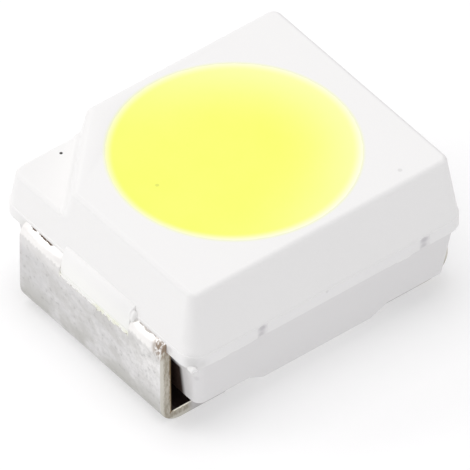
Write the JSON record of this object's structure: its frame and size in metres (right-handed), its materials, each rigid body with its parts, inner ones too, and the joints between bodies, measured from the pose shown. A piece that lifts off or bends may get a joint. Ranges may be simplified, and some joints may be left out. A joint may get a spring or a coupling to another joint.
{
  "type": "surface-mount light-emitting diode",
  "caption": "White moulded light-emitting diode with a round yellow light window, a cut polarity corner and folded solder leads at both ends.",
  "frame": {"origin": "on the board, under the middle of the body, level with the undersides of the two feet", "axes": "+X from the cathode lead to the anode lead, along the long side; +Z is the way the light leaves; the cut corner is at -X +Y"},
  "size_m": [0.0034, 0.0028, 0.0017],
  "materials": {
    "housing": "satin moulded white polyamide",
    "lead": "matt silver plating over copper, with bare copper cut edges",
    "phosphor": "smooth yellow phosphor-filled silicone",
    "die_adhesive": "cured clear adhesive",
    "die": "polished crystal",
    "gold": "bright gold"
  },
  "bodies": {
    "root": {"housing": "housing", "cathode_lead": "lead", "anode_lead": "lead", "phosphor_fill": "phosphor", "die_attach": "die_adhesive", "led_die": "die", "anode_bond_pad": "gold", "cathode_bond_pad": "gold", "anode_bond_wire": "gold", "cathode_bond_wire": "gold"}
  },
  "joints": []
}
